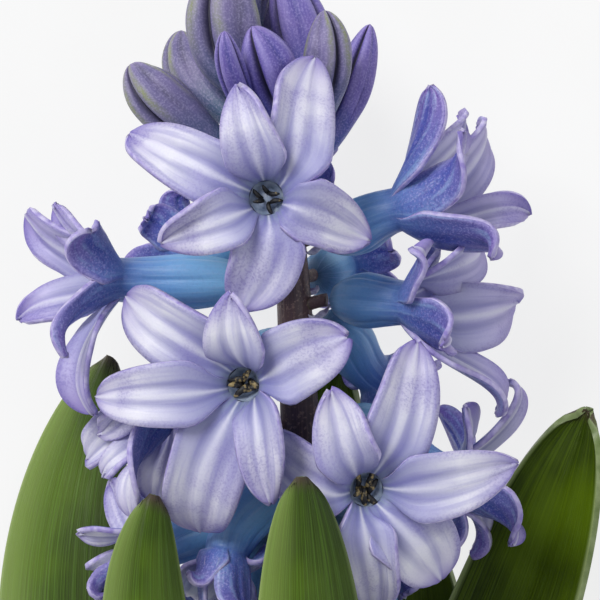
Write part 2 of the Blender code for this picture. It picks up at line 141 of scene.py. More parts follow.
class Shader:
    """A material's nodes, added one after another."""

    def __init__(self, name, roughness):
        self.mat = bpy.data.materials.new(name)
        self.mat.use_nodes = True
        self.tree = self.mat.node_tree
        self.skin = self.tree.nodes["Principled BSDF"]
        self.skin.inputs["Roughness"].default_value = roughness

    def add(self, kind, **settings):
        node = self.tree.nodes.new(kind)
        for key, value in settings.items():
            setattr(node, key, value)
        return node

    def feed(self, socket, value):
        if isinstance(value, bpy.types.NodeSocket):
            self.tree.links.new(value, socket)
        else:
            socket.default_value = value

    def maths(self, how, a, b=0.0, clamp=False):
        node = self.add("ShaderNodeMath", operation=how, use_clamp=clamp)
        for socket, value in zip(node.inputs, (a, b)):
            self.feed(socket, value)
        return node.outputs[0]

    def plus(self, a, b):
        return self.maths("ADD", a, b)

    def minus(self, a, b, clamp=False):
        return self.maths("SUBTRACT", a, b, clamp)

    def times(self, a, b, clamp=False):
        return self.maths("MULTIPLY", a, b, clamp)

    def between(self, value, low, high):
        """0 below low, 1 above high, eased in between; the other way round when low is the larger."""
        node = self.add("ShaderNodeMapRange", interpolation_type="SMOOTHSTEP")
        self.feed(node.inputs["Value"], value)
        node.inputs["From Min"].default_value = min(low, high)
        node.inputs["From Max"].default_value = max(low, high)
        node.inputs["To Min"].default_value = 0.0 if low < high else 1.0
        node.inputs["To Max"].default_value = 1.0 if low < high else 0.0
        return node.outputs["Result"]

    def hill(self, value, centre, spread):
        """1 at the centre, falling to 0 at one spread either side."""
        off = self.maths("ABSOLUTE", self.minus(value, centre))
        return self.between(off, spread, 0.0)

    def blend(self, share, a, b, how="MIX"):
        node = self.add("ShaderNodeMix", data_type="RGBA", blend_type=how)
        self.feed(node.inputs["Factor"], share)
        self.feed(node.inputs[6], a)
        self.feed(node.inputs[7], b)
        return node.outputs[2]

    def ramp(self, value, stops):
        node = self.add("ShaderNodeValToRGB")
        bar = node.color_ramp
        while len(bar.elements) < len(stops):
            bar.elements.new(0.5)
        for element, (place, colour) in zip(bar.elements, stops):
            element.position, element.color = place, colour
        self.feed(node.inputs[0], value)
        return node.outputs[0]

    def grain(self, vector, scale, detail=3.0):
        node = self.add("ShaderNodeTexNoise")
        self.feed(node.inputs["Vector"], vector)
        node.inputs["Scale"].default_value = scale
        node.inputs["Detail"].default_value = detail
        return node.outputs[0]

    def stretched(self, x, y):
        node = self.add("ShaderNodeCombineXYZ")
        for socket, value in zip(node.inputs, (x, y)):
            self.feed(socket, value)
        return node.outputs[0]

    def uv(self):
        node = self.add("ShaderNodeSeparateXYZ")
        self.feed(node.inputs[0], self.add("ShaderNodeTexCoord").outputs["UV"])
        return node.outputs[0], node.outputs[1]

    def place(self):
        return self.add("ShaderNodeTexCoord").outputs["Object"]

    def flesh(self, colour, depth, weight):
        """Colour, with light bleeding a little way through."""
        self.feed(self.skin.inputs["Base Color"], colour)
        self.skin.inputs["Subsurface Weight"].default_value = weight
        self.skin.inputs["Subsurface Radius"].default_value = (0.8, 0.7, 1.0)
        self.skin.inputs["Subsurface Scale"].default_value = depth

    def relief(self, height, strength, distance):
        node = self.add("ShaderNodeBump")
        node.inputs["Strength"].default_value = strength
        node.inputs["Distance"].default_value = distance
        self.feed(node.inputs["Height"], height)
        self.feed(self.skin.inputs["Normal"], node.outputs[0])


def scape_axis(y):
    """The scape's middle line, which leans to the left towards its tip."""
    up = (y - SCAPE_FOOT) / SCAPE_LENGTH
    return Vector((1.6 - 1.2 * up - 5.0 * up**5, y, 0.0))


def scape_radius(y):
    if y < SCAPE_NECK:
        return mix(FOOT_RADIUS, NECK_RADIUS, ease((y - SCAPE_FOOT) / (SCAPE_NECK - SCAPE_FOOT)))
    return mix(NECK_RADIUS, HEAD_RADIUS, ((y - SCAPE_NECK) / (SCAPE_HEAD - SCAPE_NECK)) ** 2)


def pedicel_end(y, turn):
    out = scape_outward(turn)
    return scape_axis(y) + out * (scape_radius(y) + PEDICEL_LENGTH) + Vector((0, 1.0, 0))


def mouth_frame(axis):
    reference = Vector((0, 1, 0)) if abs(axis.y) < 0.9 else Vector((0, 0, 1))
    first = square_to(axis, reference)
    return first, axis.cross(first)


def off_the_rib(s, six):
    """0 on the rib of each lobe, 1 at its edges."""
    return s.maths("ABSOLUTE", s.minus(s.times(s.maths("FRACT", six), 2.0), 1.0))


def petal_face(name, middle, outer):
    """The tube is v below 0.5 and the lobes above it; u goes once round all six lobes."""
    s = Shader(name, 0.46)
    u, v = s.uv()
    six = s.times(u, 6.0)
    edge = off_the_rib(s, six)
    along = s.minus(s.times(v, 2.0), 1.0, clamp=True)
    # painted shade: the face is painted darker blue-grey towards the throat; the violet tip is the lobe's
    # own colour
    colour = s.ramp(along, (
        (0.0, tint(134, 148, 176)), (0.06, tint(136, 140, 186)), (0.2, tint(174, 174, 210)),
        (0.45, middle), (0.72, outer), (1.0, tint(128, 112, 186))))
    # painted shade deeper down inside the tube
    depth = s.times(v, 2.0, clamp=True)
    colour = s.blend(s.between(depth, 1.0, 0.6), colour, tint(112, 128, 160))
    drift = s.grain(s.place(), 90.0, 2.0)
    # violet margins, streaks along the lobe, painted shade in the two grooves and a painted highlight on
    # the rib between them
    margin = s.times(s.between(s.plus(edge, s.times(drift, 0.3)), 0.80, 1.2),
                     s.plus(s.times(along, 0.75), 0.1))
    colour = s.blend(margin, colour, tint(112, 96, 180))
    streak = s.grain(s.stretched(s.times(six, 9.0), s.times(v, 3.0)), 1.0, 3.0)
    colour = s.blend(s.times(s.between(streak, 0.44, 0.66), 0.42), colour, tint(134, 130, 196))
    # painted shade darkening the two grooves
    painted_groove_shade = s.hill(edge, 0.32, 0.24)
    colour = s.blend(s.times(painted_groove_shade, s.times(s.between(along, 1.0, 0.2), 0.5)), colour,
                     tint(104, 104, 170))
    # painted highlight along the raised rib
    rib = s.times(s.hill(edge, 0.0, 0.17), 0.6)
    colour = s.blend(rib, colour, tint(228, 228, 242))
    # lilac patches, and violet specks that are thickest on them and on the margins
    patch = s.times(s.between(drift, 0.46, 0.66),
                    s.plus(s.times(along, 0.45), 0.15))
    colour = s.blend(patch, colour, tint(144, 134, 198))
    fine = s.grain(s.place(), 2600.0, 2.0)
    ink = s.plus(s.times(s.maths("MAXIMUM", margin, patch), 0.75), 0.04)
    colour = s.blend(s.times(s.between(fine, 0.47, 0.62), ink), colour, tint(104, 90, 176))
    s.flesh(colour, 0.0012, 0.25)
    s.relief(s.plus(s.times(streak, 0.8), s.times(fine, 0.25)), 0.25, 0.0004)
    return s.mat


def petal_back():
    s = Shader("petal_back", 0.42)
    u, v = s.uv()
    six = s.times(u, 6.0)
    edge = off_the_rib(s, six)
    colour = s.ramp(v, (
        (0.0, tint(92, 128, 158)), (0.12, tint(128, 184, 222)), (0.33, tint(108, 162, 216)),
        (0.50, tint(90, 124, 190)), (0.68, tint(94, 100, 174)), (0.90, tint(122, 102, 178)),
        (1.0, tint(134, 112, 184))))
    # a deep blue stripe down each lobe, lighter margins and streaks, then light and dark specks
    lobe = s.between(v, 0.45, 0.62)
    stripe = s.times(s.hill(edge, 0.0, 0.42), s.times(lobe, 0.75))
    colour = s.blend(stripe, colour, tint(66, 84, 170))
    margin = s.times(s.between(edge, 0.72, 1.0), s.times(lobe, 0.6))
    colour = s.blend(margin, colour, tint(160, 148, 206))
    streak = s.grain(s.stretched(s.times(six, 7.0), s.times(v, 4.0)), 1.0, 3.0)
    colour = s.blend(s.times(s.between(streak, 0.48, 0.72), 0.45), colour, tint(158, 190, 226))
    fine = s.grain(s.place(), 3000.0, 2.0)
    dust = s.plus(s.times(lobe, 0.34), 0.08)
    colour = s.blend(s.times(s.between(fine, 0.5, 0.66), dust), colour, tint(176, 166, 222))
    dark = s.grain(s.place(), 1900.0, 3.0)
    colour = s.blend(s.times(s.between(dark, 0.50, 0.66), dust), colour, tint(66, 56, 146))
    s.flesh(colour, 0.001, 0.18)
    s.relief(s.plus(s.times(streak, 0.8), s.times(fine, 0.3)), 0.3, 0.0004)
    return s.mat


def petal_rim():
    s = Shader("petal_rim", 0.5)
    fine = s.grain(s.place(), 700.0, 3.0)
    s.flesh(s.ramp(fine, ((0.3, tint(146, 132, 200)), (0.7, tint(204, 198, 232)))), 0.0012, 0.3)
    return s.mat


# the pale face, and a copy painted deeper violet as painted shade for the florets on the shaded sides
PALE_FACE = petal_face("petal_face", tint(232, 231, 243), tint(210, 206, 230))
SHADED_FACE = petal_face("petal_face_shaded", tint(194, 188, 226), tint(166, 154, 208))
BACK = petal_back()
RIM = petal_rim()


def tube_profile(t):
    """A swollen foot that narrows a little to the mouth."""
    belly = TUBE_RADIUS * math.sqrt(1.0 - (1.0 - t) ** 6) * (0.88 + 0.12 * ease(t * 2.0))
    return mix(belly, MOUTH_RADIUS, ease((t - 0.5) / 0.5))


def lobe_half_width(t, width, pointed):
    """Narrow at the mouth, full at a third of the way, then round or pointed to the tip."""
    if t < 0.3:
        return mix(MOUTH_RADIUS * 0.55, width / 2.0, ease(t / 0.3))
    taper = (2.3, 0.7) if pointed else (2.8, 0.56)
    return width / 2.0 * max(1.0 - ((t - 0.3) / 0.7) ** taper[0], 0.012) ** taper[1]


LOBE_ACROSS, LOBE_ROWS, TUBE_ROWS = 12, 30, 14
# florets that take the face copy painted deeper violet as painted shade
SHADED_FLORETS = "cdehij"
FLORETS = []


def floret(name, y, turn, mouth, axis, roll, lobes):
    """One floret: the tube first, then each lobe from its sixth of the mouth.

    It leaves the scape at height y in the direction turn; each lobe is given by the turn, reach and
    rise of its tip, its width, how far the tip hooks back, how far it bellies, and its twist."""
    FLORETS.append((name, y, turn, mouth, axis, roll))
    dice = random.Random(name)
    mouth, axis = Vector(mouth), Vector(axis).normalized()
    first, second = mouth_frame(axis)
    out = scape_outward(turn)
    base = pedicel_end(y, turn) + out * (GAP + FLESH / 2.0)
    reach = (mouth - base).length
    curve = (base, base + out * reach * 0.4, mouth - axis * reach * 0.45, mouth)
    bm = bmesh.new()
    uv = bm.loops.layers.uv.new("UVMap")

    def tube_point(u, t):
        along = bezier_direction(*curve, t)
        side = square_to(along, first)
        turned = roll - 30.0 + 360.0 * u
        sixth = abs((u * 6.0) % 1.0 - 0.5) * 2.0
        fluted = 1.0 + 0.06 * (1.0 - 2.0 * sixth * sixth) * ease(t * 2.0) * ease((1.0 - t) * 6.0)
        return bezier(*curve, t) + around(side, along.cross(side), turned) * (tube_profile(t) * fluted)

    shaped_grid(bm, 6 * LOBE_ACROSS, TUBE_ROWS, tube_point, lambda u, t: (u, t * 0.5), uv)
    for number, (tip_turn, stretch, forward, width, hook, lift, turned) in enumerate(lobes):
        base_turn = roll + 60.0 * number
        start = mouth + around(first, second, base_turn) * MOUTH_RADIUS
        tip_out = around(first, second, tip_turn)
        tip = mouth + tip_out * stretch + axis * forward
        span = (tip - start).length
        inner = number % 2 == 0
        flare, bend = math.radians(28.0 if inner else 50.0), math.radians(hook)
        leave = axis * math.cos(flare) + around(first, second, base_turn) * math.sin(flare)
        arrive = tip_out * math.cos(bend) - axis * math.sin(bend)
        line = (start, start + leave * span * 0.38, tip - arrive * span * 0.38, tip)
        side_start = around(first, second, base_turn + 90.0)
        side_end = around(first, second, tip_turn + 90.0)
        sway, phase = dice.uniform(0.4, 1.0), dice.uniform(0, 6.3)
        twist, bent = turned + dice.uniform(-12, 12), dice.uniform(-0.8, 0.8)
        fold_side, fold, fold_at = dice.choice((-1, 1)), dice.uniform(0.4, 2.0), dice.uniform(0.45, 0.95)

        def lobe_point(u, v):
            edge = 2.0 * u - 1.0
            if v < 0.001:
                return mouth + around(first, second, base_turn + 30.0 * edge) * MOUTH_RADIUS
            t = 1.6 * v - 0.6 * v * v
            middle = bezier(*line, t)
            along = bezier_direction(*line, t)
            flat = square_to(along, side_start * (1 - t) + side_end * t)
            side = around(flat, along.cross(flat), twist * ease(t))
            inward = along.cross(side)
            clear = (middle - mouth).cross(axis).length * (0.82 if inner else 0.9)
            half = min(lobe_half_width(t, width, inner), clear)
            # cupped, ribbed between two grooves, waved across, with its edges turned back
            open_part = ease(v * 3.0)
            rise = half * 0.24 * edge * edge + lift * math.sin(math.pi * t)
            rise += open_part * (0.16 * bump(edge, 0.0, 0.12) - 0.20 * bump(abs(edge), 0.27, 0.14))
            rise += open_part * 0.05 * math.cos(19.0 * edge)
            rise -= open_part * half * 0.12 * abs(edge) ** 5
            rise += sway * 0.6 * open_part * edge * abs(edge) * math.sin(phase + 4.5 * t)
            # one margin stands up in a fold and is drawn in there, and the tip is hooded and notched
            past = max(edge * fold_side - 0.35, 0.0)
            rise += fold * 2.2 * past * past * bump(t, fold_at, 0.28)
            rise += 0.4 * bump(t, 1.0, 0.10) * (1.0 - edge * edge)
            drawn = half * 0.22 * past * bump(t, fold_at, 0.28) * fold * fold_side
            back = 0.45 * bump(t, 1.0, 0.05) * bump(edge, 0.0, 0.3)
            return (middle + side * (half * edge - drawn + bent * math.sin(math.pi * t))
                    + inward * rise - along * back)

        shaped_grid(bm, LOBE_ACROSS, LOBE_ROWS, lobe_point,
                    lambda u, v: ((number + u) / 6.0, 0.5 + v * 0.5), uv)
    bmesh.ops.remove_doubles(bm, verts=bm.verts, dist=WELD)
    face = SHADED_FACE if name in SHADED_FLORETS else PALE_FACE
    ob = finished_piece("petals_" + name, bm, (BACK, face, RIM))
    skin = ob.modifiers.new("flesh", "SOLIDIFY")
    skin.thickness, skin.offset = FLESH * MM, 0.0
    skin.material_offset, skin.material_offset_rim = 1, 2
    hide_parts("floret_" + name)


def even_lobes(roll, stretch, forward, width, hook):
    """Six equal lobes, the inner three a little in front, for the florets at the back."""
    return [(roll + 60.0 * i, stretch, forward + (0.9 if i % 2 == 0 else -0.9), width, hook, 0.0, 0)
            for i in range(6)]


floret("a", 13.5, 100, (-5.2, 15.7, 22.0), (-0.12, 0.05, 0.99), -112, [
    (248, 16.6, -5.2, 11.4, 30, 0.0, 0),
    (344, 23.1, -7.8, 11.4, 35, 0.0, 0),
    (13, 17.5, 3.4, 9.7, 0, 1.2, 0),
    (65, 24.5, -6.9, 10.3, 40, 0.0, 0),
    (114, 17.4, 1.6, 9.7, 15, 0.6, 0),
    (168, 17.5, -2.4, 12.0, 25, 0.0, 0)])
floret("b", -8.0, 112, (-8.8, -13.1, 19.0), (-0.30, -0.05, 0.95), -137, [
    (196, 18.7, 2.4, 8.5, 20, 0.8, 0),
    (294, 17.7, -3.4, 12.0, 15, 0.0, 0),
    (359, 14.5, 5.5, 9.7, -10, 1.0, 0),
    (55, 23.4, -2.0, 11.4, 50, 0.0, 0),
    (95, 23.3, 1.1, 10.3, 55, 0.0, 0),
    (158, 24.9, -6.4, 13.7, 70, 0.0, 0)])
floret("f", -27.0, 62, (10.3, -29.3, 20.0), (0.20, -0.10, 0.97), 157, [
    (188, 21.7, -7.5, 10.1, 45, 0.0, 0),
    (221, 18.9, -2.1, 13.4, 35, 0.0, 0),
    (281, 23.2, 3.3, 10.6, 20, 0.0, 0),
    (340, 23.9, -3.6, 11.2, 25, 0.0, 0),
    (22, 17.1, 1.2, 10.6, 0, 0.8, 0),
    (68, 16.4, -11.0, 11.2, 40, 0.0, 0)])
floret("c", 9.1, 20, (15.5, 14.3, 8.0), (0.95, 0.22, 0.20), 85, [
    (37, 11.5, 13.2, 10.0, 5, 0.0, 0),
    (155, 11.8, 13.1, 10.5, 45, 0.0, 0),
    (248, 13.0, 17.8, 8.0, 0, 0.0, 0),
    (300, 23.6, 12.2, 9.0, 30, 0.0, 0),
    (311, 21.0, 10.3, 8.0, 20, 0.0, 0),
    (360, 17.8, 9.1, 9.5, -5, 0.0, 42)])
floret("d", -1.0, 18, (16.5, -0.5, 9.0), (0.93, -0.08, 0.35), -121, [
    (273, 22.3, 10.8, 11.5, 20, 0.0, 0),
    (297, 15.0, -1.9, 9.2, 80, 0.0, 0),
    (299, 20.9, 5.1, 10.3, 30, 0.0, 0),
    (44, 11.5, 3.6, 9.2, 110, 0.0, 0),
    (124, 10.3, 9.1, 10.3, 60, 0.0, 0),
    (211, 18.9, 13.2, 10.3, 40, 0.0, 0)])
floret("e", 2.0, 165, (-28.9, 3.2, 4.0), (-0.96, 0.05, 0.28), 123, [
    (125, 12.4, 12.9, 8.0, 0, 0.0, 0),
    (183, 21.1, 2.6, 10.5, 60, 0.0, 0),
    (215, 15.0, 9.4, 6.5, 40, 0.0, 0),
    (309, 11.1, 6.6, 9.5, 60, 0.0, -42),
    (36, 14.5, 8.6, 7.0, 0, 0.0, 0),
    (53, 17.2, 11.9, 9.0, 0, 0.0, 0)])
floret("h", -20.0, -8, (24.3, -28.4, 1.0), (0.96, -0.12, 0.24), 106, [
    (146, 10.3, 11.3, 10.3, 40, 0.0, 0),
    (152, 14.5, -0.6, 9.2, 60, 0.0, 0),
    (188, 11.6, 4.0, 9.2, 50, 0.0, 0),
    (316, 13.4, -5.4, 8.0, 60, 0.0, 0),
    (339, 16.9, 5.9, 8.0, 90, 0.0, 0),
    (38, 15.2, 2.2, 10.3, 20, 0.0, 0)])
floret("j", -5.0, -42, (12.1, -12.1, -13.0), (0.72, -0.50, -0.48), -131, [
    (219, 9.9, 4.4, 7.0, 70, 0.0, 0),
    (279, 9.4, 0.0, 7.0, 70, 0.0, 0),
    (359, 8.0, 4.4, 7.0, 70, 0.0, 0),
    (59, 8.0, 5.0, 7.0, 70, 0.0, 0),
    (117, 10.6, 4.5, 7.0, 70, 0.0, 0),
    (174, 11.0, 0.0, 7.0, 70, 0.0, 0)])
floret("k", -21.0, 168, (-22.0, -17.5, 3.0), (-0.68, -0.30, 0.66), 155, [
    (140, 10.6, 8.5, 6.0, 40, 0.0, 0),
    (168, 15.4, 2.1, 9.0, 35, 0.0, 0),
    (191, 13.8, 12.0, 10.0, 30, 0.0, 0),
    (21, 7.3, -9.8, 7.0, 50, 0.0, 0),
    (104, 8.4, 6.5, 6.5, 10, 0.0, 0),
    (115, 16.2, 4.5, 7.0, 40, 0.0, 0)])
floret("l", -36.0, 196, (-24.7, -40.5, -2.0), (-0.83, -0.31, 0.47), 13, [
    (46, 8.6, 7.5, 6.5, -30, 0.0, 0),
    (59, 11.0, -7.7, 7.0, 60, 0.0, 0),
    (103, 11.1, 3.9, 7.0, 60, 0.0, 0),
    (188, 9.0, 4.7, 8.4, 60, 0.0, 0),
    (211, 4.2, 10.0, 8.4, 60, 0.0, 0),
    (24, 12.9, -0.5, 8.5, 10, 0.0, 20)])
floret("m", -31.0, 118, (-11.7, -40.5, 6.0), (-0.20, -0.90, 0.39), -62, [
    (270, 6.2, 8.0, 8.4, 60, 0.0, 0),
    (44, 5.2, 4.4, 7.9, 40, 0.0, 0),
    (69, 1.1, 10.7, 8.4, 60, 0.0, 0),
    (121, 9.4, 4.2, 8.4, 60, 0.0, 0),
    (167, 12.6, 2.7, 7.4, 60, 0.0, 0),
    (221, 5.9, -3.3, 7.4, 70, 0.0, 0)])
floret("p", -50.0, 90, (-2.3, -59.4, 13.0), (-0.05, -0.78, 0.62), -93, [
    (257, 8.2, 0.9, 7.0, 70, 0.0, 0),
    (327, 8.3, 0.0, 7.0, 70, 0.0, 0),
    (23, 8.2, 0.0, 7.0, 70, 0.0, 0),
    (97, 8.1, 1.7, 7.0, 70, 0.0, 0),
    (157, 11.0, 3.7, 7.5, 70, 0.0, 0),
    (201, 11.0, 3.3, 7.5, 70, 0.0, 0)])
floret("i", 10.0, 212, (-18.0, 8.2, -14.0), (-0.67, 0.33, -0.67), -5, [
    (3, 8.0, 5.0, 7.0, 70, 0.0, 0),
    (58, 11.0, 5.0, 7.5, 70, 0.0, 0),
    (125, 11.0, 5.0, 7.5, 70, 0.0, 0),
    (170, 11.0, 5.0, 7.0, 70, 0.0, 0),
    (225, 8.0, 5.0, 7.0, 70, 0.0, 0),
    (297, 8.5, 3.4, 7.0, 70, 0.0, 0)])
floret("q", 3.0, -52, (7.4, 5.3, -15.0), (0.66, 0.22, -0.72), -114, [
    (239, 11.0, 2.0, 7.0, 70, 0.0, 0),
    (296, 10.7, 5.0, 7.0, 70, 0.0, 0),
    (358, 8.0, 5.0, 7.0, 70, 0.0, 0),
    (76, 10.3, 0.2, 7.0, 70, 0.0, 0),
    (136, 9.7, 3.4, 7.0, 70, 0.0, 0),
    (192, 11.0, 5.0, 7.0, 70, 0.0, 0)])
floret("r", 15.0, 262, (-3.0, 22.0, -17.0), (-0.05, 0.35, -0.93), 0, even_lobes(0, 9.5, 1.0, 7.5, 75))
floret("s", -12.0, 240, (-11, -13, -15), (-0.4, -0.15, -0.9), 20, even_lobes(20, 10.0, 1.0, 8.0, 75))
floret("t", -40.0, 220, (-11.5, -49, -12), (-0.65, -0.35, -0.65), 10, even_lobes(10, 8.5, 0.5, 7.5, 80))
floret("u", -36.0, 320, (14.0, -41.0, -6.5), (0.75, -0.40, -0.50), 15, even_lobes(15, 8.5, 0.5, 7.5, 80))
floret("v", -44.0, 12, (13.5, -54.0, 7.0), (0.60, -0.70, 0.40), 5, even_lobes(5, 9.0, 1.0, 7.5, 75))
floret("w", -56.0, 172, (-15, -72, -1), (-0.45, -0.85, 0.10), 25, even_lobes(25, 8.5, 1.0, 7.5, 75))

# ---------------------------------------------------------------- stamens
# Six anthers stand round the ovary just inside the mouth, near black with dusty yellow seams.
# They are grown on the wall of the tube; the ovary is a soft grey-blue knob at its foot, drawn up
# into the throat.

RIPE_FLORETS = "bf"
RIPE_SIZE = 1.35
OVARY_RADIUS, OVARY_DEPTH = 2.3, 2.9
CROWN_RADIUS = 2.62


def anther_skin(name, dusty):
    s = Shader(name, 0.55)
    dust = s.grain(s.place(), 1100.0, 3.0)
    colour = s.ramp(dust, ((0.50 - dusty, tint(8, 8, 12)), (0.62 - dusty, tint(26, 25, 28)),
                           (0.72 - dusty, tint(150, 132, 88))))
    s.feed(s.skin.inputs["Base Color"], colour)
    s.relief(dust, 0.5, 0.0002)
    return s.mat


def ovary_skin():
    s = Shader("ovary", 0.4)
    fine = s.grain(s.place(), 900.0, 3.0)
    s.flesh(s.ramp(fine, ((0.35, tint(116, 132, 160)), (0.65, tint(158, 170, 192)))), 0.0008, 0.2)
    s.relief(fine, 0.3, 0.0003)
    return s.mat


ANTHER = anther_skin("anther", 0.0)
RIPE_ANTHER = anther_skin("ripe_anther", 0.10)
OVARY = ovary_skin()


def stamens(name, mouth, axis, roll):
    dice = random.Random("stamens" + name)
    ripe = name in RIPE_FLORETS
    size = RIPE_SIZE if ripe else 1.0
    mouth, axis = Vector(mouth), Vector(axis).normalized()
    first, second = mouth_frame(axis)
    bm = bmesh.new()
    style = bmesh.ops.create_cone(
        bm, cap_ends=True, segments=12, radius1=0.5, radius2=0.35, depth=3.4)["verts"]
    bmesh.ops.translate(bm, verts=style, vec=(0, 0, -3.3))
    ovary = bmesh.ops.create_uvsphere(bm, u_segments=24, v_segments=12, radius=OVARY_RADIUS)["verts"]
    bmesh.ops.scale(bm, verts=ovary, vec=(1, 1, 0.75))
    bmesh.ops.translate(bm, verts=ovary, vec=(0, 0, -OVARY_DEPTH))
    uv = bm.loops.layers.uv.new("UVMap")

    def crown_point(u, t):
        """The fleshy ring that closes the throat between the anthers."""
        wavy = 1.0 - 0.05 * math.cos(math.radians(2160.0 * u)) * t
        out = CROWN_RADIUS * math.sin(math.pi * t) ** 0.7 * wavy
        deep = mix(-3.6, -0.35, ease(t * 2.0)) if t < 0.5 else mix(-0.35, -2.3, ease(t * 2.0 - 1.0))
        a = math.radians(360.0 * u)
        return Vector((math.cos(a) * out, math.sin(a) * out, deep))

    shaped_grid(bm, 36, 20, crown_point, lambda u, t: (u, t), uv)
    bmesh.ops.remove_doubles(bm, verts=bm.verts, dist=WELD)
    bmesh.ops.recalc_face_normals(bm, faces=bm.faces[:])
    for face in bm.faces:
        face.material_index = 1
    # each anther is a small lens, bent over and tipped its own way
    for number in range(6):
        blob = bmesh.ops.create_uvsphere(bm, u_segments=10, v_segments=8, radius=1.0)["verts"]
        for v in blob:
            v.co.z = v.co.z * 0.34 - 0.5 * v.co.x * v.co.x
            v.co.x *= 1.3 * size
            v.co.y *= 0.4 * size
        lie = (Matrix.Rotation(math.radians(60.0 * number + dice.uniform(-14, 14)), 4, "Z")
               @ Matrix.Translation((1.3 + dice.uniform(-0.5, 0.4), 0, -0.5 + dice.uniform(-0.3, 0.6)))
               @ Matrix.Rotation(math.radians(-30.0 + dice.uniform(-30, 30)), 4, "Y")
               @ Matrix.Rotation(math.radians(dice.uniform(-50, 50)), 4, "Z")
               @ Matrix.Rotation(math.radians(dice.uniform(-30, 30)), 4, "X"))
        bmesh.ops.transform(bm, matrix=lie, verts=blob)
    turned = Matrix((first, second, axis)).transposed().to_4x4()
    in_mouth = Matrix.Translation(mouth) @ turned @ Matrix.Rotation(math.radians(roll), 4, "Z")
    bmesh.ops.transform(bm, matrix=in_mouth, verts=bm.verts[:])
    ob = finished_piece("anthers_" + name, bm, (RIPE_ANTHER if ripe else ANTHER, OVARY))
    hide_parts("stamens_" + name)


for name, _, _, mouth, axis, roll in FLORETS:
    stamens(name, mouth, axis, roll)

# ---------------------------------------------------------------- buds
# Unopened florets: the lobes are folded shut, and the three outer ones meet in deep slits painted near
# black as shade.
# Some are turning violet, the others are still grey-lilac with olive ribs and a teal foot.

BUD_SIDES, BUD_ROWS = 96, 60


def mixed_colour(a, b, share):
    return tuple(mix(p, q, share) for p, q in zip(a, b))


def bud_skin(name, foot, body, rib, dusk, tip, speck):
    s = Shader(name, 0.5)
    u, v = s.uv()
    # 0 in each slit, 1 on the crest of each outer lobe
    third = s.times(s.maths("ABSOLUTE", s.minus(s.maths("FRACT", s.times(u, 3.0)), 0.5)), 2.0)
    colour = s.ramp(v, ((0.05, foot), (0.30, mixed_colour(foot, body, 0.6)), (0.5, body), (0.85, body),
                        (1.0, tip)))
    drift = s.grain(s.place(), 160.0, 3.0)
    ribs = s.times(s.hill(s.plus(third, s.times(drift, 0.3)), 0.55, 0.26),
                   s.between(v, 0.3, 0.75))
    colour = s.blend(s.times(ribs, 0.85), colour, rib)
    crest = s.times(s.hill(third, 1.0, 0.3), s.between(v, 0.3, 0.7))
    colour = s.blend(s.times(crest, 0.55), colour, dusk)
    colour = s.blend(s.times(s.between(drift, 0.46, 0.7), 0.5), colour, tip)
    streak = s.grain(s.stretched(s.times(u, 60.0), s.times(v, 5.0)), 1.0, 3.0)
    colour = s.blend(s.times(s.between(streak, 0.45, 0.75), 0.3), colour, speck)
    fine = s.grain(s.place(), 3000.0, 2.0)
    colour = s.blend(s.times(s.between(fine, 0.46, 0.66), 0.45), colour, speck)
    # painted shade: the slits between the outer lobes painted near black
    painted_slit_shade = s.between(third, 0.22, 0.02)
    colour = s.blend(s.times(painted_slit_shade, s.between(v, 0.22, 0.45)), colour, tint(26, 24, 52))
    s.flesh(colour, 0.001, 0.12)
    s.relief(s.plus(streak, s.times(fine, 0.4)), 0.3, 0.0004)
    return s.mat


GREY_BUD = bud_skin(
    "bud_grey", foot=tint(60, 104, 130), body=tint(108, 102, 148), rib=tint(146, 154, 104),
    dusk=tint(84, 84, 100), tip=tint(132, 120, 168), speck=tint(164, 156, 196))
VIOLET_BUD = bud_skin(
    "bud_violet", foot=tint(60, 96, 160), body=tint(104, 92, 172), rib=tint(144, 134, 200),
    dusk=tint(60, 64, 146), tip=tint(134, 114, 186), speck=tint(164, 152, 214))


def bud(name, mat, y, turn, middle, tip, radius, spin):
    """One bud, grown at height y in the direction turn, through its middle to its tip."""
    base = pedicel_end(y, turn) + scape_outward(turn) * GAP
    middle, tip = Vector(middle), Vector(tip)
    curve = (base, base + (middle - base) * 0.8, tip + (middle - tip) * 0.7, tip)
    bm = bmesh.new()
    uv = bm.loops.layers.uv.new("UVMap")

    def skin_point(u, t):
        along = bezier_direction(*curve, t)
        side = square_to(along, Vector((0, 0, 1)) if abs(along.z) < 0.8 else Vector((0, 1, 0)))
        third = abs((u * 3.0) % 1.0 - 0.5) * 2.0
        shut = ease((t - 0.22) * 4.0)
        ribs = 1.0 - shut * (0.34 * bump(third, 0.0, 0.15) - 0.07 * bump(third, 0.5, 0.3))
        ribs -= 0.04 * shut * bump(third, 1.0, 0.16)
        ribs += 0.04 * math.cos(math.radians(1080.0 * u)) * (1.0 - shut) * ease(t * 5.0)
        lumps = 0.035 * noise.noise(Vector((u * 9.0, t * 5.0, radius)))
        girth = radius * math.sin(math.pi * t**1.15) ** 0.58 if 0.0 < t < 1.0 else 0.0
        outward = around(side, along.cross(side), 360.0 * u + spin)
        return bezier(*curve, t) + outward * (girth * (ribs + lumps))

    shaped_grid(bm, BUD_SIDES, BUD_ROWS, skin_point, lambda u, t: (u, t), uv)
    bmesh.ops.remove_doubles(bm, verts=bm.verts, dist=WELD)
    bmesh.ops.recalc_face_normals(bm, faces=bm.faces[:])
    ob = finished_piece(name + "_bud", bm, (mat,))
    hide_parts("bud_" + name)


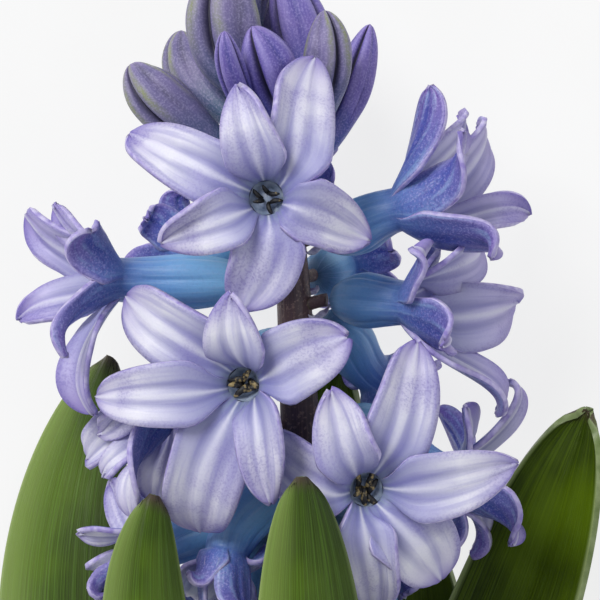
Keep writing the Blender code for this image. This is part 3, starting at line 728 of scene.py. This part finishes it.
BUDS = (
    ("left", GREY_BUD, 20.0, 168, (-22.8, 30.4, 5.0), (-26.9, 37.6, 3.0), 4.5, 20),
    ("upper_left", GREY_BUD, 26.0, 160, (-19.4, 35.6, -7.0), (-19.3, 43.8, -8.0), 4.0, 0),
    ("crown", GREY_BUD, 31.0, 130, (-13.9, 39.6, 6.0), (-11.5, 55.4, 3.0), 6.0, 150),
    ("small", VIOLET_BUD, 22.0, 118, (-11.3, 35.0, 18.0), (-11.7, 41.6, 19.0), 2.2, 0),
    ("half_open", VIOLET_BUD, 25.0, 66, (-3.8, 34.7, 12.0), (-7.5, 42.7, 14.0), 4.3, 30),
    ("upper_right", VIOLET_BUD, 27.0, 5, (1.8, 42.2, -4.0), (-3.5, 53.0, -2.0), 4.4, 0),
    ("right", GREY_BUD, 24.0, 28, (5.4, 37.2, 8.0), (3.8, 45.7, 8.0), 3.9, 90),
    ("far_right", VIOLET_BUD, 20.0, 5, (8.4, 33.0, -4.0), (11.3, 44.5, -4.0), 3.2, 40),
    ("top", GREY_BUD, 35.0, 190, (-8.4, 52.8, -7.0), (-8.1, 60.6, -7.0), 3.6, 0),
    ("back", GREY_BUD, 33.0, 280, (-3.9, 43.4, -13.0), (-6.2, 53.2, -13.0), 3.9, 0),
    ("back_left", GREY_BUD, 27.0, 228, (-11.8, 37.0, -15.0), (-15.5, 45.8, -16.0), 3.9, 50),
    ("back_right", GREY_BUD, 23.0, 305, (3.6, 34.5, -15.0), (6.6, 43.6, -15.0), 3.9, 10),
)
for name, mat, y, turn, middle, tip, radius, spin in BUDS:
    bud(name, mat, y, turn, middle, tip, radius, spin)

# ---------------------------------------------------------------- leaves
# Thick fleshy straps that sheathe the scape: dark green, hollow on the inner side, closely veined,
# with a pale rim and a blunt brown hood at the tip.

LEAF_CUP = 28.0
LEAF_THICKNESS = 1.1
RIM_ROUNDING = 0.35
LEAF_ACROSS, LEAF_ROWS = 48, 90
WIDEST = 0.48


def leaf_skin(name, inner):
    s = Shader(name, 0.34)
    u, v = s.uv()
    edge = s.maths("ABSOLUTE", s.minus(s.times(u, 2.0), 1.0))
    drift = s.grain(s.place(), 45.0, 3.0)
    deep, fresh = (tint(26, 40, 0), tint(74, 96, 2)) if inner else (tint(40, 58, 0), tint(78, 102, 8))
    colour = s.blend(s.between(drift, 0.35, 0.7), deep, fresh)
    veins = s.grain(s.stretched(s.times(u, 70.0), s.times(v, 2.5)), 1.0, 2.0)
    colour = s.blend(s.times(s.between(veins, 0.42, 0.66), 0.4), colour,
                     tint(96, 138, 40) if not inner else tint(88, 112, 6))
    fine = s.grain(s.stretched(s.times(u, 260.0), s.times(v, 9.0)), 1.0, 2.0)
    colour = s.blend(s.times(s.between(fine, 0.5, 0.7), 0.12 if inner else 0.22), colour,
                     tint(112, 148, 64))
    colour = s.blend(s.times(s.between(edge, 0.90, 1.0), 0.55), colour, tint(168, 184, 128))
    if not inner:
        # painted light and shade: the left flank painted lighter as a sheen, the right flank painted
        # darker as shade
        painted_light_across = s.plus(u, s.times(drift, 0.3))
        colour = s.blend(s.times(s.between(painted_light_across, 0.62, 0.2), 0.55), colour, tint(140, 164, 84))
        colour = s.blend(s.times(s.between(painted_light_across, 0.7, 1.1), 0.6), colour, tint(30, 50, 0))
    hood = s.between(s.plus(v, s.times(drift, 0.06)), 1.0, 1.03)
    colour = s.blend(hood, colour, tint(74, 62, 50))
    foot = s.between(v, 0.16, 0.0)
    colour = s.blend(s.times(foot, 0.85), colour, tint(178, 188, 142))
    s.flesh(colour, 0.0008, 0.08)
    s.relief(s.plus(veins, s.times(fine, 0.4)), 0.35, 0.0005)
    s.skin.inputs["Specular IOR Level"].default_value = 0.15 if inner else 0.3
    return s.mat


def leaf_rim():
    s = Shader("leaf_rim", 0.45)
    fine = s.grain(s.place(), 300.0)
    s.flesh(s.ramp(fine, ((0.3, tint(92, 112, 52)), (0.7, tint(150, 164, 116)))), 0.0008, 0.1)
    return s.mat


LEAF = (leaf_skin("leaf_back", False), leaf_skin("leaf_hollow", True), leaf_rim())


def leaf(name, turn, ring, rise, middle, tip, face, width, wrap):
    """One leaf, which starts on a ring round the scape's foot; its hollow side looks towards face."""
    start = scape_axis(SCAPE_FOOT) + scape_outward(turn) * ring
    middle, tip, face = Vector(middle), Vector(tip), Vector(face).normalized()
    line = (start, start + Vector((0, rise, 0)), middle, tip)
    bm = bmesh.new()
    uv = bm.loops.layers.uv.new("UVMap")
    seed = tip.x * 0.37

    def blade_point(u, v):
        t = 1.35 * v - 0.35 * v * v
        along = bezier_direction(*line, t)
        hollow = square_to(along, (-scape_outward(turn)).lerp(face, ease(t * 2.0)))
        side = hollow.cross(along)
        edge = 2.0 * u - 1.0
        half_base = ring * math.radians(wrap)
        if t < WIDEST:
            half = mix(half_base, width / 2.0, ease((t - 0.14) / 0.34))
        else:
            half = width / 2.0 * math.sqrt(max(1.0 - 0.99 * ((t - WIDEST) / 0.52) ** 3.2, 0.0))
        half = max(half, 0.6)
        bow = math.radians(mix(wrap, LEAF_CUP, ease(t * 1.6)))
        curl = half / bow
        swing = edge * bow
        # faint veins, a keel down the middle, a slow waver, and a shallow hood at the tip
        rise_here = 0.05 * math.cos(60.0 * edge) * (1.0 - edge * edge) - 0.5 * bump(edge, 0.0, 0.22)
        rise_here += 0.5 * ease(t * 3.0) * noise.noise(Vector((edge * 1.2, t * 6.0, seed)))
        rise_here -= 0.9 * bump(t, 1.0, 0.04) * (1.0 - edge * edge)
        hood = 1.6 * bump(t, 1.0, 0.03) * (1.0 - edge * edge)
        return (bezier(*line, t) + side * (curl * math.sin(swing)) + along * hood
                + hollow * (curl * (1.0 - math.cos(swing)) + rise_here))

    shaped_grid(bm, LEAF_ACROSS, LEAF_ROWS, blade_point, lambda u, v: (u, v), uv)
    ob = finished_piece(name + "_leaf", bm, LEAF)
    skin = ob.modifiers.new("flesh", "SOLIDIFY")
    skin.thickness, skin.offset = LEAF_THICKNESS * MM, 0.0
    skin.material_offset, skin.material_offset_rim = 1, 2
    soft = ob.modifiers.new("soft rim", "BEVEL")
    soft.width, soft.segments = RIM_ROUNDING * MM, 3
    soft.limit_method, soft.angle_limit = "ANGLE", math.radians(50)
    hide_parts("leaf_" + name)


leaf("left", 193, 9.6, 18, (-60, -75, -11), (-31.5, -11, -17), (0.4, 0, -0.9), 27, 34)
leaf("front_left", 118, 6.4, 42, (-32, -70, 14), (-22.8, -31.7, 16), (0.2, 0, -1), 17, 38)
leaf("front", 75, 9.6, 18, (3, -75, 24), (0.3, -28.3, 27), (0, 0, -1), 20, 34)
leaf("right", 25, 6.4, 40, (33, -65, -8), (45.3, -18.8, 0), (-0.5, 0.1, 0.85), 25, 38)
leaf("low_right", 332, 9.6, 16, (27, -80, -11), (19.2, -37, -17), (0, 0, 1), 16, 34)
leaf("under", 232, 6.4, 36, (-3, -62, -16), (6.4, -11.5, -22), (0, 0, 1), 20, 40)

# ---------------------------------------------------------------- scape
# The flower stalk is one fleshy purple-brown rod with a short pedicel for every floret and bud,
# grown on it. It is streaked along its length, finely speckled, and green towards the cut end.


def scape_skin():
    s = Shader("scape_skin", 0.42)
    u, v = s.uv()
    drift = s.grain(s.place(), 120.0, 3.0)
    colour = s.blend(s.between(drift, 0.35, 0.7), tint(58, 40, 44), tint(96, 72, 70))
    streak = s.grain(s.stretched(s.times(u, 50.0), s.times(v, 10.0)), 1.0, 3.0)
    colour = s.blend(s.times(s.between(streak, 0.45, 0.7), 0.5), colour, tint(118, 92, 84))
    fine = s.grain(s.place(), 1800.0, 2.0)
    colour = s.blend(s.times(s.between(fine, 0.54, 0.7), 0.6), colour, tint(146, 118, 104))
    colour = s.blend(s.times(s.between(v, 0.45, 0.1), 0.8), colour, tint(98, 116, 60))
    s.flesh(colour, 0.0008, 0.06)
    s.relief(s.plus(streak, s.times(fine, 0.5)), 0.3, 0.0004)
    return s.mat


def rod(bm, uv, line, radius, sides, rows):
    """A round rod along a Bezier line, open at both ends."""
    def skin_point(u, t):
        along = bezier_direction(*line, t)
        side = square_to(along, Vector((0, 0, 1)) if abs(along.z) < 0.8 else Vector((0, 1, 0)))
        return bezier(*line, t) + around(side, along.cross(side), 360.0 * u) * radius(t)

    shaped_grid(bm, sides, rows, skin_point, lambda u, t: (u, t), uv)


STALK_SIDES, STALK_ROWS = 48, 160
PEDICEL_SIDES, PEDICEL_ROWS = 20, 12
bm = bmesh.new()
uv = bm.loops.layers.uv.new("UVMap")


def bark_point(u, t):
    y = SCAPE_FOOT + SCAPE_LENGTH * t
    swell = 1.0 + 0.03 * noise.noise(Vector((6.0 * u, y * 0.15, 2.0)))
    return scape_axis(y) + scape_outward(360.0 * u) * (scape_radius(y) * swell)


shaped_grid(bm, STALK_SIDES, STALK_ROWS, bark_point, lambda u, t: (u, t), uv)
SPOTS = [place[1:3] for place in FLORETS] + [place[2:4] for place in BUDS]
for y, turn in SPOTS:
    end = pedicel_end(y, turn)
    out = scape_outward(turn)
    start = scape_axis(y) + out * (scape_radius(y) * 0.3)
    line = (start, start.lerp(end, 0.4), end - out * 0.8, end)
    rod(bm, uv, line, lambda t: 0.95 + 0.5 * (1.0 - t) ** 4 + 0.12 * t, PEDICEL_SIDES, PEDICEL_ROWS)
bmesh.ops.remove_doubles(bm, verts=bm.verts, dist=WELD)
bmesh.ops.holes_fill(bm, edges=[e for e in bm.edges if e.is_boundary], sides=0)
bmesh.ops.recalc_face_normals(bm, faces=bm.faces[:])
stalk = finished_piece("flower_stalk", bm, (scape_skin(),))
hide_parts("scape")

# ---------------------------------------------------------------- bracts
# Under every pedicel sits a small withered bract: a pale papery tongue about 2 mm wide, grown on
# the stalk and standing out beside the pedicel.

BRACT_THICKNESS = 0.22
BRACT_ACROSS, BRACT_ROWS = 8, 14
paper_skin = Shader("bract", 0.6)
paper_skin.flesh(paper_skin.ramp(paper_skin.grain(paper_skin.place(), 900.0),
                                 ((0.35, tint(150, 140, 170)), (0.65, tint(226, 222, 232)))), 0.0008, 0.3)
paper_skin.relief(paper_skin.grain(paper_skin.place(), 700.0), 0.4, 0.0003)
bm = bmesh.new()
uv = bm.loops.layers.uv.new("UVMap")
for y, turn in SPOTS:
    dice = random.Random(y + turn)
    out, across = scape_outward(turn), Vector((0, 1, 0)).cross(scape_outward(turn))
    foot = scape_axis(y) + out * scape_radius(y) - Vector((0, 1.6, 0))
    top = foot + out * dice.uniform(2.4, 3.4) + Vector((0, dice.uniform(0.6, 2.2), 0))
    top += across * dice.uniform(-1, 1)
    line = (foot - out * 0.4, foot + out * 1.2 - Vector((0, 0.9, 0)), top - Vector((0, 1.2, 0)), top)

    def tongue(u, t):
        along = bezier_direction(*line, t)
        side = square_to(along, across)
        edge = 2.0 * u - 1.0
        curl = along.cross(side) * (0.45 * edge * edge + 0.2 * math.sin(9.0 * t + 3.0 * edge))
        return bezier(*line, t) + side * (edge * mix(1.0, 0.12, t * t)) + curl

    shaped_grid(bm, BRACT_ACROSS, BRACT_ROWS, tongue, lambda u, t: (u, t), uv)
bracts = finished_piece("bracts", bm, (paper_skin.mat,))
leafy = bracts.modifiers.new("leafy", "SOLIDIFY")
leafy.thickness, leafy.offset = BRACT_THICKNESS * MM, 0.0

# ---------------------------------------------------------------- table, light and eye
# A plain pale surface with soft daylight from the upper left; the eye looks straight down on the
# flowers as they lie, a little over half a metre away.

FLOOR_REACH = 2.0
FLOOR_GLOW = 0.79
EYE_DISTANCE = 0.55
VIEW_WIDTH = 0.096
FILM_WIDTH = 36.0

bm = bmesh.new()
bmesh.ops.create_grid(bm, x_segments=2, y_segments=2, size=FLOOR_REACH)
ground = bpy.data.meshes.new("floor")
bm.to_mesh(ground)
bm.free()
paper = Shader("paper", 0.9)
mottle = paper.grain(paper.place(), 30.0)
paper.feed(paper.skin.inputs["Base Color"],
           paper.ramp(mottle, ((0.3, (0.13, 0.13, 0.13, 1)), (0.7, (0.15, 0.15, 0.15, 1)))))
paper.skin.inputs["Emission Color"].default_value = (1.0, 1.0, 1.0, 1.0)
paper.skin.inputs["Emission Strength"].default_value = FLOOR_GLOW
ground.materials.append(paper.mat)
floor = bpy.data.objects.new("floor", ground)
bpy.context.scene.collection.objects.link(floor)


def soft_light(name, place, size, power, colour):
    lamp = bpy.data.lights.new(name, "AREA")
    lamp.shape, lamp.size, lamp.energy, lamp.color = "DISK", size, power, colour
    ob = bpy.data.objects.new(name, lamp)
    bpy.context.scene.collection.objects.link(ob)
    at = laid_down @ Vector(place)
    aim = laid_down @ Vector((0, -0.01, 0)) - at
    ob.matrix_world = Matrix.Translation(at) @ aim.to_track_quat("-Z", "Y").to_matrix().to_4x4()


soft_light("window", (-1.5, 1.7, 2.2), 1.5, 74.0, (1.0, 0.99, 0.97))
soft_light("fill", (1.6, -0.2, 2.2), 1.6, 8.0, (0.93, 0.96, 1.0))

world = bpy.data.worlds.new("studio")
bpy.context.scene.world = world
world.use_nodes = True
sky = world.node_tree.nodes["Background"]
sky.inputs["Color"].default_value = (0.95, 0.97, 1.0, 1.0)
sky.inputs["Strength"].default_value = 0.4

lens = bpy.data.cameras.new("eye")
lens.sensor_fit, lens.sensor_width, lens.sensor_height = "HORIZONTAL", FILM_WIDTH, FILM_WIDTH
lens.lens = FILM_WIDTH * EYE_DISTANCE / VIEW_WIDTH
lens.clip_start, lens.clip_end = 0.02, 10.0
eye = bpy.data.objects.new("eye", lens)
bpy.context.scene.collection.objects.link(eye)
eye.matrix_world = laid_down @ Matrix.Translation((0, 0, EYE_DISTANCE))
bpy.context.scene.camera = eye
bpy.context.scene.view_settings.view_transform = "Standard"
